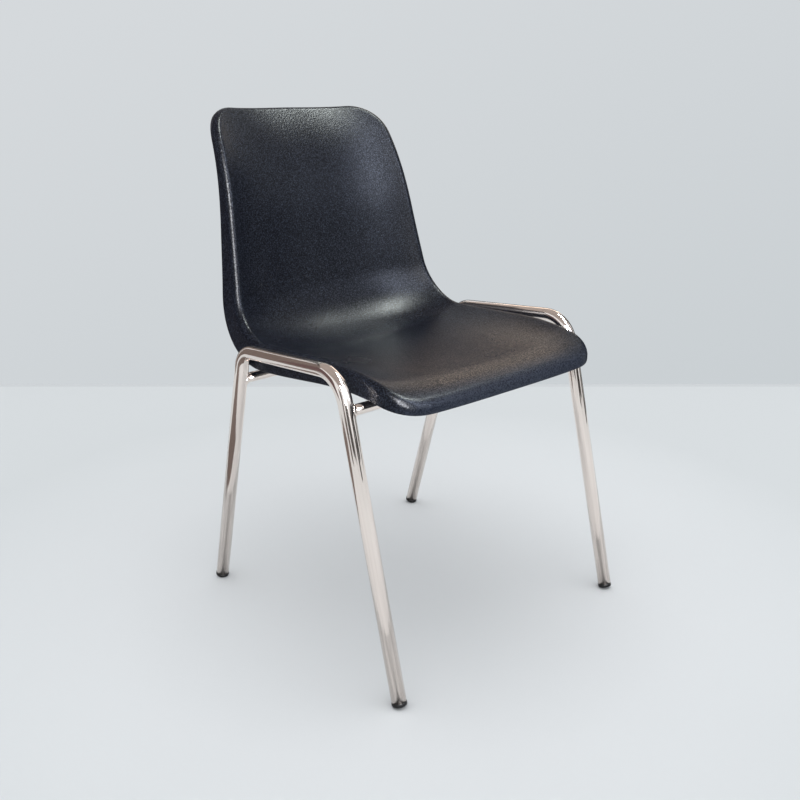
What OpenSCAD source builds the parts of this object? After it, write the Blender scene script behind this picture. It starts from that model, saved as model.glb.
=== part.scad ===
// Stacking chair: a one-piece moulded shell on a welded frame of bent round tube.
// Millimetres. The sitter faces -Y, so the sitter's left hand is at +X. Z is up and the floor is z = 0.
// The origin is on the floor, in the middle of the chair's footprint.

/* [Shell outline] */
// Width of the shell between its side edges, before they roll over
seat_w = 420; // [400:2:440]
// Straight length of the seat along its middle
seat_len = 252; // [232:4:272]
// How far the seat falls towards the rear, in degrees
seat_slope = 4; // [2:0.5:6]
// Radius of the seat's front waterfall along its middle
nose_r = 150; // [140:5:160]
// Angle that the waterfall turns through, in degrees
nose_turn = 21.5; // [20:0.5:24]
// Radius of the bend between seat and back along its middle
bend_r = 115; // [108:1:120]
// Angle between the seat and the lumbar part of the back, in degrees
bend_turn = 84.5; // [82:0.5:88]
// Straight length of the lumbar part of the back
lumbar_len = 98; // [80:2:116]
// Radius on which the upper back curls away from the sitter
back_r = 420; // [360:10:600]
// Length of the upper back
back_len = 200; // [184:2:216]

// How far the top edge rises from its corners to its middle
top_crown = 6.5; // [0:0.5:9]

/* [Shell section] */
// Wall of the moulding
shell_wall = 4.5; // [3.5:0.1:5.2]
// Deepest dish of the shell, side edge above middle
dish_depth = 42; // [36:1:48]
// Deepest side flange below the edge's crest
flange_depth = 46; // [42:1:50]
// Outer radius of the roll along the sides
side_roll_r = 9.5; // [8.5:0.25:11]
// Outer radius of the roll along the front
front_roll_r = 20; // [16:1:24]
// Outer radius of the roll along the top
top_roll_r = 9; // [8:0.25:11]
// Depth of the front lip below its crest
front_lip = 17.5; // [16:0.5:22]
// Depth of the top flange below its crest
top_lip = 17; // [14:0.5:20]
// Outward slope of the flanges, in degrees
flange_draft = 6; // [4:0.5:8]
// Front corner radius across the shell
front_corner_w = 41; // [36:1:46]
// Front corner radius along the shell
front_corner_l = 40; // [36:1:46]
// Top corner radius across the shell
top_corner_w = 52; // [46:1:58]
// Top corner radius along the shell
top_corner_l = 54; // [48:1:60]

/* [Shell fixing] */
// Height of the front bosses, from pan to crossbar, at the middle of the seat
boss_h = 13.5; // [12:0.5:16]
// Distance between the two bosses on a crossbar
boss_spacing = 200; // [180:4:220]
// Diameter of a boss
boss_d = 24; // [20:1:26]
// How far a boss's saddle reaches down beside its crossbar
saddle_drop = 3; // [2:0.5:4]
// Outer diameter of a threaded insert
insert_d = 9; // [8:0.25:10]
// Length of a threaded insert
insert_len = 9; // [7:0.5:9.5]
// Diameter of the screws
screw_d = 6; // [5:0.5:6]
// Diameter of a screw's head
screw_head_d = 12; // [11:0.5:14]
// Height of a screw's head
screw_head_h = 4; // [3:0.25:5]
// Width across the flats of the hexagon socket in a screw's head
socket_w = 4; // [3:0.5:4]
// Diameter of the saddle washers
washer_d = 15; // [14.5:0.5:16]
// Thickness of a saddle washer under the crossbar
washer_t = 2; // [1.5:0.25:3]

/* [Frame] */
// Diameter of the side frame tube
tube_d = 22; // [20:0.5:24]
// Wall of the side frame tube
tube_wall = 1.5; // [1.2:0.1:2]
// Diameter of the crossbars
bar_d = 16; // [14:0.5:17]
// Wall of the crossbars
bar_wall = 1.5; // [1.2:0.1:2]
// Height of the rail's front corner above the floor, where leg and rail would meet with no bend
rail_height = 470; // [440:5:500]
// Fall of the rail from the front corner to the rear one
rail_fall = 20.5; // [16:0.5:24]
// How much shorter the rail is than the seat, from corner to corner
rail_short = 2; // [0:1:10]
// Lean of the front legs, in degrees
front_splay = 14.3; // [12:0.1:17]
// Lean of the rear legs, in degrees
rear_splay = 15.5; // [13:0.1:18]
// Radius of the front bend on the tube's axis
front_bend_r = 52; // [40:1:55]
// Radius of the rear bend on the tube's axis
rear_bend_r = 38; // [32:1:50]
// Angle by which each side frame turns in towards the rear, in degrees
toe_in = 1.35; // [1:0.05:1.5]
// Angle by which each side frame leans out towards its top, in degrees
frame_lean = 0.4; // [0:0.1:1]
// Gap between the shell's flange and the rail
rail_gap = 2.8; // [2.4:0.2:8]
// Height of the front crossbar's axis below the front corner
front_bar_drop = 52; // [50:1:64]
// Height of the rear crossbar's axis below the rear corner
rear_bar_drop = 50; // [42:1:56]
// Size of the weld bead round each crossbar's end
weld_size = 2.5; // [1.5:0.25:3.5]

/* [Glides] */
// Diameter of a glide's cap
glide_d = 22.6; // [20:0.2:26]
// Height of a glide's cap, from the tube's end to the bottom of its dome
glide_h = 8; // [6:0.5:12]
// Height of the dome
glide_dome = 3; // [2:0.25:4]
// Depth of the flat that each dome stands on
glide_flat = 0.5; // [0.3:0.1:0.8]
// Length of the stem inside the tube
stem_len = 24; // [16:1:32]
// Number of ribs round the stem
stem_ribs = 4; // [2:1:6]

/* [Hidden] */

// How far the middle of the legs lies in front of the origin
legs_forward = 37.3;
// How far the middle of the seat's straight lies in front of the middle of the legs
seat_forward = 28.7;
// How far the middle of the rail lies in front of the middle of the legs
rail_forward = 2.8;
// Slope of the dish where it meets the roll along the sides, at most
edge_rise = 30;
// Overrun of every cut past the face it starts from
over = 1;
// Clearance of each fitted pin, insert and stem, on the radius
fit_gap = 0.05;
// Clearance of each screw in its holes, on the radius
hole_gap = 0.3;
// Height of a stem's rib above the stem, and its width along the stem
rib_step = 0.8;
rib_w = 2;
// Distance over which the shell's slope is measured
probe = 0.5;
// How far a straight stretch of tube reaches into the bend next to it, and how much wider the bend is
bend_lap = 0.5;
bend_swell = 0.1;
$fn = 48;

// Shares of half the seat width, of the dish and of the flange, at even steps from front edge to top edge
width_shares = [0.98, 0.985, 0.99, 1, 1, 0.935, 0.89, 0.84, 0.79];
dish_shares = [0, 0.63, 0.69, 0.73, 0.91, 0.86, 0.69, 0.72, 0.62];
flange_shares = [0.52, 0.66, 0.79, 0.9, 0.95, 0.72, 0.55, 0.36, 0.2];
// Share of the dish's height that it has reached at half its half width, at the front edge and at the top
half_share = 0.5;
front_rise_share = 0.11;
top_rise_share = 0.165;

// Steps of the shell's surface: across, round a corner and over the roll
steps_across = 18;
steps_corner = 5;
steps_roll = 6;
// Steps along the shell in its nose, seat, bend, lumbar part and upper back
piece_steps = [1, 7, 10, 3, 7];

// Radii of the round pieces
tube_r = tube_d / 2;
bar_r = bar_d / 2;
boss_r = boss_d / 2;
screw_r = screw_d / 2;
insert_r = insert_d / 2;
glide_r = glide_d / 2;
bore_r = tube_r - tube_wall;

// Lengths of the pieces of the shell's middle line
nose_len = nose_r * nose_turn * PI / 180;
bend_len = bend_r * bend_turn * PI / 180;
shell_len = nose_len + seat_len + bend_len + lumbar_len + back_len;

// A glide's dome is part of a ball that rests on the floor
dome_r = (pow(glide_r, 2) + pow(glide_dome, 2)) / (2 * glide_dome);
function tube_end_h(splay) = dome_r - glide_flat + (glide_h - dome_r) * cos(splay);

// Main points of a side frame in its own plane, as [y, z]
rail_len = seat_len - rail_short;
rail_reach = sqrt(pow(rail_len, 2) - pow(rail_fall, 2));
front_top = [-rail_reach / 2 - rail_forward, rail_height];
rear_top = front_top + [rail_reach, -rail_fall];
front_foot = front_top + (rail_height - tube_end_h(front_splay)) * [-tan(front_splay), -1];
rear_foot = rear_top + (rear_top.y - tube_end_h(rear_splay)) * [tan(rear_splay), -1];

// Places where the crossbars meet the legs, in the same plane
front_joint = front_top + front_bar_drop * [-tan(front_splay), -1];
rear_joint = rear_top + rear_bar_drop * [tan(rear_splay), -1];

// Side frame on the left: its plane stands off the shell's flange by the rail gap
edge_out = side_roll_r * (1 + sin(edge_rise)) + flange_depth * tan(flange_draft);
frame_x = seat_w / 2 + edge_out + rail_gap + tube_r - rail_height * tan(frame_lean);

// Where a point [y, z] of the left side frame's plane lies on the chair
function on_frame(p) = [
    frame_x + p.y * sin(frame_lean) * cos(toe_in) - p.x * sin(toe_in),
    p.x * cos(toe_in) + p.y * sin(frame_lean) * sin(toe_in) - legs_forward,
    p.y * cos(frame_lean)];
front_bar = on_frame(front_joint);
rear_bar = on_frame(rear_joint);

// Smooth curve through even steps of values, for t from 0 to 1
function along(t, values) =
    let (
        last = len(values) - 1,
        ends = concat([2 * values[0] - values[1]], values, [2 * values[last] - values[last - 1]]),
        s = min(max(t, 0), 1) * last,
        k = min(floor(s), last - 1),
        x = s - k
    )
    (pow(1 - x, 3) * ends[k]
        + (3 * pow(x, 3) - 6 * pow(x, 2) + 4) * ends[k + 1]
        + (3 * x + 3 * pow(x, 2) - 3 * pow(x, 3) + 1) * ends[k + 2]
        + pow(x, 3) * ends[k + 3]) / 6;

// Steps along the shell's middle line, from a place [y, z, angle]
function ahead(p, distance) = [p.x + distance * cos(p.z), p.y + distance * sin(p.z), p.z];
function turned(p, radius, angle) = [
    p.x + radius * (sin(p.z + angle) - sin(p.z)),
    p.y - radius * (cos(p.z + angle) - cos(p.z)),
    p.z + angle];

// The middle line, measured from the rear end of the seat's straight
seat_end = [0, 0, -seat_slope];
seat_start = ahead(seat_end, -seat_len);
nose_end = turned(seat_start, -nose_r, nose_turn);
bend_end = turned(seat_end, bend_r, bend_turn);
lumbar_end = ahead(bend_end, lumbar_len);
function middle(v) =
    let (s = v - nose_len - seat_len)
    v < 0 ? ahead(nose_end, v)
    : v < nose_len ? turned(seat_start, -nose_r, (nose_len - v) / nose_r * 180 / PI)
    : s < 0 ? ahead(seat_end, s)
    : s < bend_len ? turned(seat_end, bend_r, s / bend_r * 180 / PI)
    : s < bend_len + lumbar_len ? ahead(bend_end, s - bend_len)
    : turned(lumbar_end, -back_r, -(s - bend_len - lumbar_len) / back_r * 180 / PI);

// Distance along the middle line at which it reaches y, between low and high
function station(y, low, high, tries = 30) =
    tries == 0 ? (low + high) / 2
    : middle((low + high) / 2).x < y ? station(y, (low + high) / 2, high, tries - 1)
    : station(y, low, (low + high) / 2, tries - 1);

// Half width and height of the dish, on the moulding's own surface
function half_width(v) = seat_w / 2 * along(v / shell_len, width_shares);
function rise_power(v) =
    let (share = front_rise_share + (top_rise_share - front_rise_share) * v / shell_len)
    ln(share) / ln(half_share);
function dish(u, v) = dish_depth * along(v / shell_len, dish_shares)
    * pow(abs(u) / half_width(v), rise_power(v));

// The shell rests on the front crossbar at its boss height, and this sets its place on the frame
shell_y = seat_len * cos(seat_slope) / 2 - seat_forward - legs_forward;
front_v = station(front_bar.y - shell_y, 0, nose_len + seat_len);
rear_v = station(rear_bar.y - shell_y, nose_len + seat_len / 2, nose_len + seat_len + bend_len);
shell_z = front_bar.z + bar_r + boss_h + shell_wall - middle(front_v).y;

// A place u across, v along and n above the middle surface, on the chair
function placed(p) =
    let (m = middle(p.y))
    [p.x, shell_y + m.x - p.z * sin(m.z), shell_z + m.y + p.z * cos(m.z)];

// One row across the shell: [edge v, inset of the edge, v at the middle, outward direction]
function outward(angle, w, l, way) =
    let (d = [cos(angle) / w, way * sin(angle) / l])
    d / norm(d);
corner_turns = [for (k = [0 : steps_corner]) 90 * (1 - k / steps_corner)];
front_rows = [for (k = [0 : steps_corner]) [
    front_corner_l * (1 - sin(corner_turns[k])), front_corner_w * (1 - cos(corner_turns[k])),
    front_corner_l * k / steps_corner, outward(corner_turns[k], front_corner_w, front_corner_l, -1)]];
piece_ends = [front_corner_l, nose_len, nose_len + seat_len, nose_len + seat_len + bend_len,
    shell_len - back_len, shell_len - top_crown - top_corner_l];
side_rows = [for (p = [0 : len(piece_steps) - 1]) for (k = [1 : piece_steps[p]])
    let (
        v = piece_ends[p] + (piece_ends[p + 1] - piece_ends[p]) * k / piece_steps[p],
        crown = top_crown * max(v - piece_ends[4], 0) / (piece_ends[5] - piece_ends[4])
    )
    if (v < piece_ends[5] - over) [v, 0, v + crown, [1, 0]]];
top_rows = [for (k = [steps_corner : -1 : 0]) [
    shell_len - top_crown - top_corner_l * (1 - sin(corner_turns[k])), top_corner_w * (1 - cos(corner_turns[k])),
    shell_len - top_corner_l * k / steps_corner, outward(corner_turns[k], top_corner_w, top_corner_l, 1)]];
rows = concat(front_rows, side_rows, top_rows);
last_row = len(rows) - 1;

// The dished middle surface as a grid of [u, v]
function grid_point(r, c) =
    let (
        share = 2 * c / steps_across - 1,
        row = rows[r]
    )
    [share * (half_width(row[0]) - row[1]), row[2] + (row[0] - row[2]) * pow(share, 2)];
function on_dish(p) = [p.x, p.y, dish(p.x, p.y)];
function slope(p, d) = (dish(p.x, p.y) - dish(p.x - probe * d.x, p.y - probe * d.y)) / probe;
function under_dish(p) =
    let (
        m = [-slope(p, [1, 0]), -slope(p, [0, 1]), 1],
        normal = m / norm(m)
    )
    on_dish(p) - shell_wall * normal;

// Its edge as a loop of [grid row, grid column, outward direction]
edge_loop = concat(
    [for (c = [0 : steps_across]) [0, c, [0, -1]]],
    [for (r = [1 : last_row]) [r, steps_across, rows[r][3]]],
    [for (c = [steps_across - 1 : -1 : 0]) [last_row, c, [0, 1]]],
    [for (r = [last_row - 1 : -1 : 1]) [r, 0, [-rows[r][3].x, rows[r][3].y]]]);
loop_count = len(edge_loop);

// The rolled edge: ring 0 is the grid's own edge, the last ring is the flange's bottom
function roll_point(i, k, inset) =
    let (
        e = edge_loop[i],
        p = grid_point(e[0], e[1]),
        d = e[2],
        front = d.y < 0 ? pow(d.y, 2) : 0,
        top = d.y > 0 ? pow(d.y, 2) : 0,
        radius = side_roll_r + (front_roll_r - side_roll_r) * sqrt(front)
            + (top_roll_r - side_roll_r) * top,
        rise = atan(slope(p, d)),
        fall = 90 - flange_draft,
        side_depth = flange_depth * along(p.y / shell_len, flange_shares),
        depth = side_depth + (front_lip - side_depth) * front + (top_lip - side_depth) * top,
        turn = rise - (rise + fall) * min(k, steps_roll) / steps_roll,
        out = radius * (sin(rise) - sin(turn)),
        up = radius * (cos(turn) - cos(rise)),
        crest = radius * (1 - cos(max(rise, 0))),
        drop = k > steps_roll ? max(depth + up - crest, 0) : 0,
        reach = out + drop * tan(flange_draft) + inset * sin(turn),
        level = dish(p.x, p.y) + up - drop - inset * cos(turn)
    )
    [p.x + d.x * reach, p.y + d.y * reach, level];

// All points of the outer sheet, then all of the inner one
grid_count = (last_row + 1) * (steps_across + 1);
sheet_count = grid_count + (steps_roll + 1) * loop_count;
shell_points = concat(
    [for (r = [0 : last_row]) for (c = [0 : steps_across]) placed(on_dish(grid_point(r, c)))],
    [for (k = [1 : steps_roll + 1]) for (i = [0 : loop_count - 1]) placed(roll_point(i, k, 0))],
    [for (r = [0 : last_row]) for (c = [0 : steps_across]) placed(under_dish(grid_point(r, c)))],
    [for (k = [1 : steps_roll + 1]) for (i = [0 : loop_count - 1]) placed(roll_point(i, k, shell_wall))]);
function grid_index(r, c) = r * (steps_across + 1) + c;
function ring_index(k, i) =
    let (j = i % loop_count)
    k == 0 ? grid_index(edge_loop[j][0], edge_loop[j][1]) : grid_count + (k - 1) * loop_count + j;
function pair(a, b, c, d) = [[a, b, c], [a, c, d]];
outer_faces = concat(
    [for (r = [0 : last_row - 1]) for (c = [0 : steps_across - 1])
        each pair(grid_index(r, c), grid_index(r + 1, c), grid_index(r + 1, c + 1), grid_index(r, c + 1))],
    [for (k = [0 : steps_roll]) for (i = [0 : loop_count - 1])
        each pair(ring_index(k, i), ring_index(k, i + 1), ring_index(k + 1, i + 1), ring_index(k + 1, i))]);
inner_faces = [for (f = outer_faces) [f[0] + sheet_count, f[2] + sheet_count, f[1] + sheet_count]];
rim_faces = [for (i = [0 : loop_count - 1])
    let (a = ring_index(steps_roll + 1, i), b = ring_index(steps_roll + 1, i + 1))
    each pair(a, b, b + sheet_count, a + sheet_count)];

// The moulding itself, without its bosses
module shell_sheet() {
    polyhedron(points = shell_points, faces = concat(outer_faces, inner_faces, rim_faces), convexity = 6);
}

// Crossbar's outer surface, running the whole way from leg axis to leg axis
module bar_rod(bar, r) {
    translate([0, bar.y, bar.z])
        rotate([0, 90, 0])
            cylinder(h = 2 * bar.x, r = r, center = true);
}

// One boss: it grows from the middle of the wall down to its crossbar, which its foot straddles
module boss(bar, v, side) {
    x = side * boss_spacing / 2;
    under = under_dish([x, v]);
    seat = placed(under);
    root = placed(under + shell_wall / 2 * [0, 0, 1]);
    lean = [-slope([x, v], [1, 0]), -slope([x, v], [0, 1]), 1];
    pitch = middle(v).z;
    difference() {
        translate([x, bar.y, bar.z + bar_r - saddle_drop])
            cylinder(h = seat.z - bar.z - bar_r + saddle_drop + boss_r, r = boss_r);
        bar_rod(bar, bar_r);
        translate(root)
            rotate([pitch - atan(lean.y), atan(lean.x), 0])
                translate([-boss_d, -boss_d, 0])
                    cube([2 * boss_d, 2 * boss_d, boss_d]);
        translate([x, bar.y, bar.z])
            cylinder(h = bar_r + insert_len + screw_r / 2, r = insert_r + fit_gap);
    }
}

module seat_shell() {
    color([0.13, 0.14, 0.18]) {
        shell_sheet();
        for (side = [-1, 1]) {
            boss(front_bar, front_v, side);
            boss(rear_bar, rear_v, side);
        }
    }
}

// Straight stretch of a bent tube's inside or outside, in the plane of the frame
module stretch(from, to, r, before = 0, after = 0) {
    way = to - from;
    translate(from)
        rotate([0, 0, atan2(way.y, way.x)])
            rotate([0, 90, 0])
                translate([0, 0, -before])
                    cylinder(h = norm(way) + before + after, r = r);
}

// Round corner of a bent tube that turns clockwise from one direction to the next
module corner(at, from_angle, turn, bend_r, r) {
    back = bend_r * tan(turn / 2);
    centre = at - back * [cos(from_angle), sin(from_angle)] + bend_r * [sin(from_angle), -cos(from_angle)];
    translate(centre)
        rotate([0, 0, from_angle + 90 - turn])
            rotate_extrude(angle = turn)
                translate([bend_r, 0])
                    circle(r = r + bend_swell);
}

// Whole run of the side frame's tube at radius r, its ends longer by the overrun given
module frame_run(r, longer) {
    rise = atan2(front_top.y - front_foot.y, front_top.x - front_foot.x);
    level = atan2(rear_top.y - front_top.y, rear_top.x - front_top.x);
    fall = atan2(rear_foot.y - rear_top.y, rear_foot.x - rear_top.x);
    front_back = front_bend_r * tan((rise - level) / 2);
    rear_back = rear_bend_r * tan((level - fall) / 2);
    stretch(front_foot, front_top - front_back * [cos(rise), sin(rise)], r, longer, bend_lap);
    corner(front_top, rise, rise - level, front_bend_r, r);
    stretch(front_top + front_back * [cos(level), sin(level)],
        rear_top - rear_back * [cos(level), sin(level)], r, bend_lap, bend_lap);
    corner(rear_top, level, level - fall, rear_bend_r, r);
    stretch(rear_top + rear_back * [cos(fall), sin(fall)], rear_foot, r, bend_lap, longer);
}

// Puts a shape drawn in the frame's plane, x to the rear and y up, in place on the left side
module on_left() {
    translate([frame_x, -legs_forward, 0])
        rotate([0, 0, toe_in])
            rotate([0, frame_lean, 0])
                rotate([90, 0, 90])
                    children();
}

module side_frame() {
    on_left()
        difference() {
            frame_run(tube_r, 0);
            frame_run(bore_r, over);
        }
}
module left_side_frame() {
    color([0.80, 0.78, 0.76])
        side_frame();
}
module right_side_frame() {
    color([0.80, 0.78, 0.76])
        mirror([1, 0, 0])
            side_frame();
}

// The straight legs as solid rods of radius r, on both sides
module leg_rods(foot, top, r) {
    for (side = [0, 1])
        mirror([side, 0, 0])
            on_left()
                stretch(foot, top, r);
}

// A crossbar: cut to the legs at its ends and drilled for the shell's screws
module crossbar(bar, foot, top) {
    difference() {
        bar_rod(bar, bar_r);
        bar_rod([bar.x + over, bar.y, bar.z], bar_r - bar_wall);
        leg_rods(foot, top, tube_r);
        for (side = [-1, 1])
            translate([side * boss_spacing / 2, bar.y, bar.z - bar_d])
                cylinder(h = 2 * bar_d, r = screw_r + hole_gap);
    }
}
module front_crossbar() {
    color([0.78, 0.76, 0.74])
        crossbar(front_bar, front_foot, front_top);
}
module rear_crossbar() {
    color([0.78, 0.76, 0.74])
        crossbar(rear_bar, rear_foot, rear_top);
}

// Weld bead: what lies near both the crossbar's end and the leg, outside both, on the left
module weld(bar, foot, top) {
    difference() {
        intersection() {
            translate([bar.x - 2 * tube_d, bar.y, bar.z])
                rotate([0, 90, 0])
                    cylinder(h = 2 * tube_d, r = bar_r + weld_size);
            on_left()
                stretch(foot, top, tube_r + weld_size);
        }
        bar_rod(bar, bar_r);
        on_left()
            stretch(foot, top, tube_r);
    }
}
module front_left_weld() {
    color([0.70, 0.68, 0.66])
        weld(front_bar, front_foot, front_top);
}
module front_right_weld() {
    color([0.70, 0.68, 0.66])
        mirror([1, 0, 0])
            weld(front_bar, front_foot, front_top);
}
module rear_left_weld() {
    color([0.70, 0.68, 0.66])
        weld(rear_bar, rear_foot, rear_top);
}
module rear_right_weld() {
    color([0.70, 0.68, 0.66])
        mirror([1, 0, 0])
            weld(rear_bar, rear_foot, rear_top);
}

// Glide: domed cap below the tube's end and ribbed stem in its bore, cut flat where it stands
module glide(foot, angle) {
    stem_r = bore_r - fit_gap - rib_step;
    pitch = stem_len / (stem_ribs + 1);
    difference() {
        on_left()
            translate(foot)
                rotate([0, 0, angle])
                    rotate([0, 90, 0]) {
                        intersection() {
                            cylinder(h = glide_h, r = glide_r);
                            translate([0, 0, glide_h - dome_r])
                                sphere(r = dome_r, $fn = 96);
                        }
                        translate([0, 0, -stem_len])
                            cylinder(h = stem_len, r = stem_r);
                        for (k = [1 : stem_ribs])
                            translate([0, 0, -k * pitch])
                                cylinder(h = rib_w, r = bore_r - fit_gap);
                    }
        translate([0, -2 * rail_reach, -glide_d])
            cube([2 * frame_x, 4 * rail_reach, glide_d]);
    }
}
module front_glide() {
    glide(front_foot, -90 - front_splay);
}
module rear_glide() {
    glide(rear_foot, -90 + rear_splay);
}
module front_left_glide() {
    color([0.07, 0.07, 0.08])
        front_glide();
}
module front_right_glide() {
    color([0.07, 0.07, 0.08])
        mirror([1, 0, 0])
            front_glide();
}
module rear_left_glide() {
    color([0.07, 0.07, 0.08])
        rear_glide();
}
module rear_right_glide() {
    color([0.07, 0.07, 0.08])
        mirror([1, 0, 0])
            rear_glide();
}

// Puts what holds the shell at each of its four bosses, with the crossbar's axis at the origin
module at_bosses() {
    for (bar = [front_bar, rear_bar])
        for (side = [-1, 1])
            translate([side * boss_spacing / 2, bar.y, bar.z])
                children();
}

module boss_inserts() {
    color([0.72, 0.58, 0.30])
        at_bosses()
            translate([0, 0, bar_r])
                difference() {
                    cylinder(h = insert_len, r = insert_r);
                    translate([0, 0, -over])
                        cylinder(h = insert_len + 2 * over, r = screw_r + fit_gap);
                }
}

module saddle_washers() {
    color([0.75, 0.75, 0.74])
        at_bosses()
            difference() {
                translate([0, 0, -bar_r - washer_t])
                    cylinder(h = washer_t + saddle_drop, r = washer_d / 2);
                rotate([0, 90, 0])
                    cylinder(h = 2 * washer_d, r = bar_r, center = true);
                translate([0, 0, -bar_d])
                    cylinder(h = bar_d, r = screw_r + hole_gap);
            }
}

module shell_screws() {
    color([0.75, 0.75, 0.74])
        at_bosses()
            translate([0, 0, -bar_r - washer_t]) {
                cylinder(h = washer_t + bar_d + insert_len, r = screw_r);
                difference() {
                    intersection() {
                        translate([0, 0, -screw_head_h])
                            cylinder(h = screw_head_h, r = screw_head_d / 2);
                        translate([0, 0, screw_head_d - screw_head_h])
                            sphere(r = screw_head_d, $fn = 96);
                    }
                    translate([0, 0, -screw_head_h - over])
                        cylinder(h = screw_head_h / 2 + over, d = socket_w / cos(30), $fn = 6);
                }
            }
}

seat_shell();
left_side_frame();
right_side_frame();
front_crossbar();
rear_crossbar();
front_left_weld();
front_right_weld();
rear_left_weld();
rear_right_weld();
front_left_glide();
front_right_glide();
rear_left_glide();
rear_right_glide();
boss_inserts();
saddle_washers();
shell_screws();
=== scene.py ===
from math import atan, atan2, cos, log, pi, radians, sin, sqrt, tan

import bmesh
import bpy
from mathutils import Matrix, Vector


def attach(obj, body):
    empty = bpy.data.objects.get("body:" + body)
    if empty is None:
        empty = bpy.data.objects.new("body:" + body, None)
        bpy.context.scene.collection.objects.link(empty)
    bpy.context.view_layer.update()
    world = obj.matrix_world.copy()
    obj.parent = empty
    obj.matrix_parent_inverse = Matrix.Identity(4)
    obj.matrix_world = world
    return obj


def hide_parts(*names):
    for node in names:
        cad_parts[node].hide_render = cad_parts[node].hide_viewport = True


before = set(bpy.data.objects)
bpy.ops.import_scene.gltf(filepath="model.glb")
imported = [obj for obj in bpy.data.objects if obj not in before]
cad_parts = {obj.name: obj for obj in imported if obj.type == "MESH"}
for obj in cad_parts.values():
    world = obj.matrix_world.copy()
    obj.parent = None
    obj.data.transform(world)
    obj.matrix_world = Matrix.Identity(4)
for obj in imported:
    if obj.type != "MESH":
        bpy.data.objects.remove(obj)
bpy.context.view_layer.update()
print("frame loaded with", len(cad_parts), "CAD nodes")

# The chair stands on z = 0 and faces -Y, with the sitter's left at +X. Lengths are in metres, angles in degrees.


# Helpers for meshes and pieces

def startRing(bm, sides, radius):
    # a circle of points round the origin, and its edges
    points = bmesh.ops.create_circle(bm, segments=sides, radius=radius)["verts"]
    return points, [edge for edge in bm.edges if edge.is_wire]


def growRing(bm, rim):
    # pulls a new ring out of the open edges, and gives its points and its edges
    grown = bmesh.ops.extrude_edge_only(bm, edges=rim)["geom"]
    points = [part for part in grown if isinstance(part, bmesh.types.BMVert)]
    return points, [part for part in grown if isinstance(part, bmesh.types.BMEdge)]


def closeRing(bm, rim):
    bmesh.ops.edgeloop_fill(bm, edges=rim)


def turnProfile(bm, profile, sides):
    # profile is a list of (radius, height) that starts and ends on the axis
    points = [bm.verts.new((radius, 0, height)) for radius, height in profile]
    edges = [bm.edges.new(pair) for pair in zip(points, points[1:])]
    bmesh.ops.spin(bm, geom=points + edges, cent=(0, 0, 0), axis=(0, 0, 1), angle=2 * pi, steps=sides, use_merge=True)
    bmesh.ops.remove_doubles(bm, verts=bm.verts, dist=1e-6)
    bmesh.ops.recalc_face_normals(bm, faces=bm.faces)


def faceOutwards(bm):
    # the foremost face of an open tube has to look forward
    bm.normal_update()
    if min(bm.faces, key=lambda face: face.calc_center_median().y).normal.y > 0:
        bmesh.ops.reverse_faces(bm, faces=bm.faces)


def addObject(name, data):
    made = bpy.data.objects.new(name, data)
    bpy.context.scene.collection.objects.link(made)
    return made


def finishPiece(bm, name, material, node, sharpOver=None):
    mesh = bpy.data.meshes.new(name)
    bm.to_mesh(mesh)
    bm.free()
    mesh.shade_smooth()
    if sharpOver:
        mesh.set_sharp_from_angle(angle=radians(sharpOver))
    mesh.materials.append(material)
    piece = addObject(name, mesh)
    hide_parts(node)
    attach(piece, "root")
    return piece


def addWall(piece, thickness):
    wall = piece.modifiers.new("wall", "SOLIDIFY")
    wall.thickness = thickness
    wall.offset = -1
    return wall


# Helpers for materials. A value is a plain one, or another node's output.

def newMaterial(name):
    material = bpy.data.materials.new(name)
    material.use_nodes = True
    return material, material.node_tree, material.node_tree.nodes["Principled BSDF"].inputs


def feed(tree, socket, value):
    if isinstance(value, bpy.types.NodeSocket):
        tree.links.new(value, socket)
    else:
        socket.default_value = value


def addNode(tree, kind, **settings):
    # each setting is one of the node's inputs or one of its properties
    node = tree.nodes.new(kind)
    for key, value in settings.items():
        if key in node.inputs:
            feed(tree, node.inputs[key], value)
        else:
            setattr(node, key, value)
    return node


def addMath(tree, operation, *values):
    node = addNode(tree, "ShaderNodeMath", operation=operation)
    for socket, value in zip(node.inputs, values):
        feed(tree, socket, value)
    return node.outputs["Value"]


def addNoise(tree, place, scale, detail, roughness):
    noise = addNode(tree, "ShaderNodeTexNoise", Vector=place, Scale=scale, Detail=detail, Roughness=roughness)
    return noise.outputs["Fac"]


def remap(tree, value, fromRange, toRange=(0, 1)):
    node = addNode(tree, "ShaderNodeMapRange", Value=value)
    for name, limit in zip(("From Min", "From Max", "To Min", "To Max"), (*fromRange, *toRange)):
        node.inputs[name].default_value = limit
    return node.outputs["Result"]


def blendTones(tree, value, fromRange, tones):
    # the first tone where the value is low, the second where it is high
    ramp = addNode(tree, "ShaderNodeValToRGB", Fac=value)
    for stop, place, tone in zip(ramp.color_ramp.elements, fromRange, tones):
        stop.position = place
        stop.color = (*tone, 1)
    return ramp.outputs["Color"]


def coverTone(tree, factor, under, over):
    mix = addNode(tree, "ShaderNodeMix", data_type="RGBA", Factor=factor)
    feed(tree, mix.inputs[6], under)  # 6, 7 and 2 are this node's colour sockets
    feed(tree, mix.inputs[7], (*over, 1))
    return mix.outputs[2]


def addBump(tree, shader, height, strength, depth):
    bump = addNode(tree, "ShaderNodeBump", Strength=strength, Distance=depth, Height=height)
    tree.links.new(bump.outputs["Normal"], shader["Normal"])


def showEither(tree, factor, first, second, output):
    mix = addNode(tree, "ShaderNodeMixShader", Fac=factor)
    tree.links.new(first, mix.inputs[1])
    tree.links.new(second, mix.inputs[2])
    tree.links.new(mix.outputs["Shader"], tree.nodes[output].inputs["Surface"])


# Camera

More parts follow.
